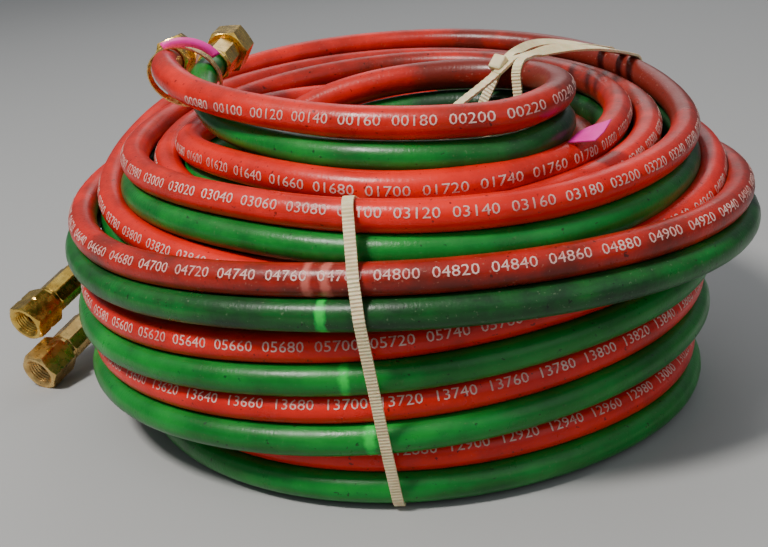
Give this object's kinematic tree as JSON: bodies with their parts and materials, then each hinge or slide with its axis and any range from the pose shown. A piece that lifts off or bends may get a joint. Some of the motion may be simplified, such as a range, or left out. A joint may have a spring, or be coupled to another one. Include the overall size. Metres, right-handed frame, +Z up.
{
  "type": "coiled twin gas hose",
  "caption": "Coiled twin welding hose, red and green side by side, tied with nylon straps, with swivel nut fittings.",
  "frame": {"origin": "middle of the whole set's footprint, on the floor", "axes": "+Z up out of the coil, +Y towards the side where the coil lies higher and the upper fittings point, +X to the right of that, away from the lower fittings"},
  "size_m": [0.3628, 0.3134, 0.1686],
  "materials": {
    "red_rubber": "satin, dusty, worn brown in places",
    "green_rubber": "satin, dusty",
    "brass": "machined, slightly dull",
    "nylon": "translucent natural nylon",
    "band_metal": "thin rolled strip",
    "pink_tape": "matte adhesive tape"
  },
  "bodies": {
    "root": {"green_coil_row_1": "green_rubber", "red_coil_row_1": "red_rubber", "green_coil_row_2": "green_rubber", "red_coil_row_2": "red_rubber", "green_coil_row_3": "green_rubber", "red_coil_row_3": "red_rubber", "green_coil_row_4": "green_rubber", "red_coil_row_4": "red_rubber", "green_coil_row_5": "green_rubber", "red_coil_row_5": "red_rubber", "green_loose_turn": "green_rubber", "red_loose_turn": "red_rubber", "red_top_loop": "red_rubber", "green_top_loop": "green_rubber", "red_tail": "red_rubber", "green_tail": "green_rubber", "lower_red_hose_end": "red_rubber", "lower_red_ferrule": "brass", "lower_red_nipple": "brass", "lower_green_hose_end": "green_rubber", "lower_green_ferrule": "brass", "lower_green_nipple": "brass", "upper_red_hose_end": "red_rubber", "upper_red_ferrule": "brass", "upper_red_nipple": "brass", "upper_green_hose_end": "green_rubber", "upper_green_ferrule": "brass", "upper_green_nipple": "brass", "front_tie": "nylon", "back_tie_1": "nylon", "back_tie_2": "nylon", "back_tie_3": "nylon", "hose_band": "band_metal", "pink_tape": "pink_tape", "tape_tag": "pink_tape"},
    "lower_red_nut": {"lower_red_nut": "brass"},
    "lower_green_nut": {"lower_green_nut": "brass"},
    "upper_red_nut": {"upper_red_nut": "brass"},
    "upper_green_nut": {"upper_green_nut": "brass"}
  },
  "joints": [
    {"name": "lower_red_nut_spin", "type": "hinge", "parent": "root", "child": "lower_red_nut", "pos_m": [-0.1636, 0.026, 0.0365], "axis": [-0.4306, -0.8611, -0.2704], "continuous": true},
    {"name": "lower_green_nut_spin", "type": "hinge", "parent": "root", "child": "lower_green_nut", "pos_m": [-0.15612, 0.01173, 0.0148], "axis": [-0.4306, -0.8611, -0.2704], "continuous": true},
    {"name": "upper_red_nut_spin", "type": "hinge", "parent": "root", "child": "upper_red_nut", "pos_m": [-0.07931, 0.01937, 0.158], "axis": [-0.0804, 0.9949, -0.0603], "continuous": true},
    {"name": "upper_green_nut_spin", "type": "hinge", "parent": "root", "child": "upper_green_nut", "pos_m": [-0.05731, 0.02837, 0.157], "axis": [0.1005, 0.9898, 0.1005], "continuous": true}
  ]
}
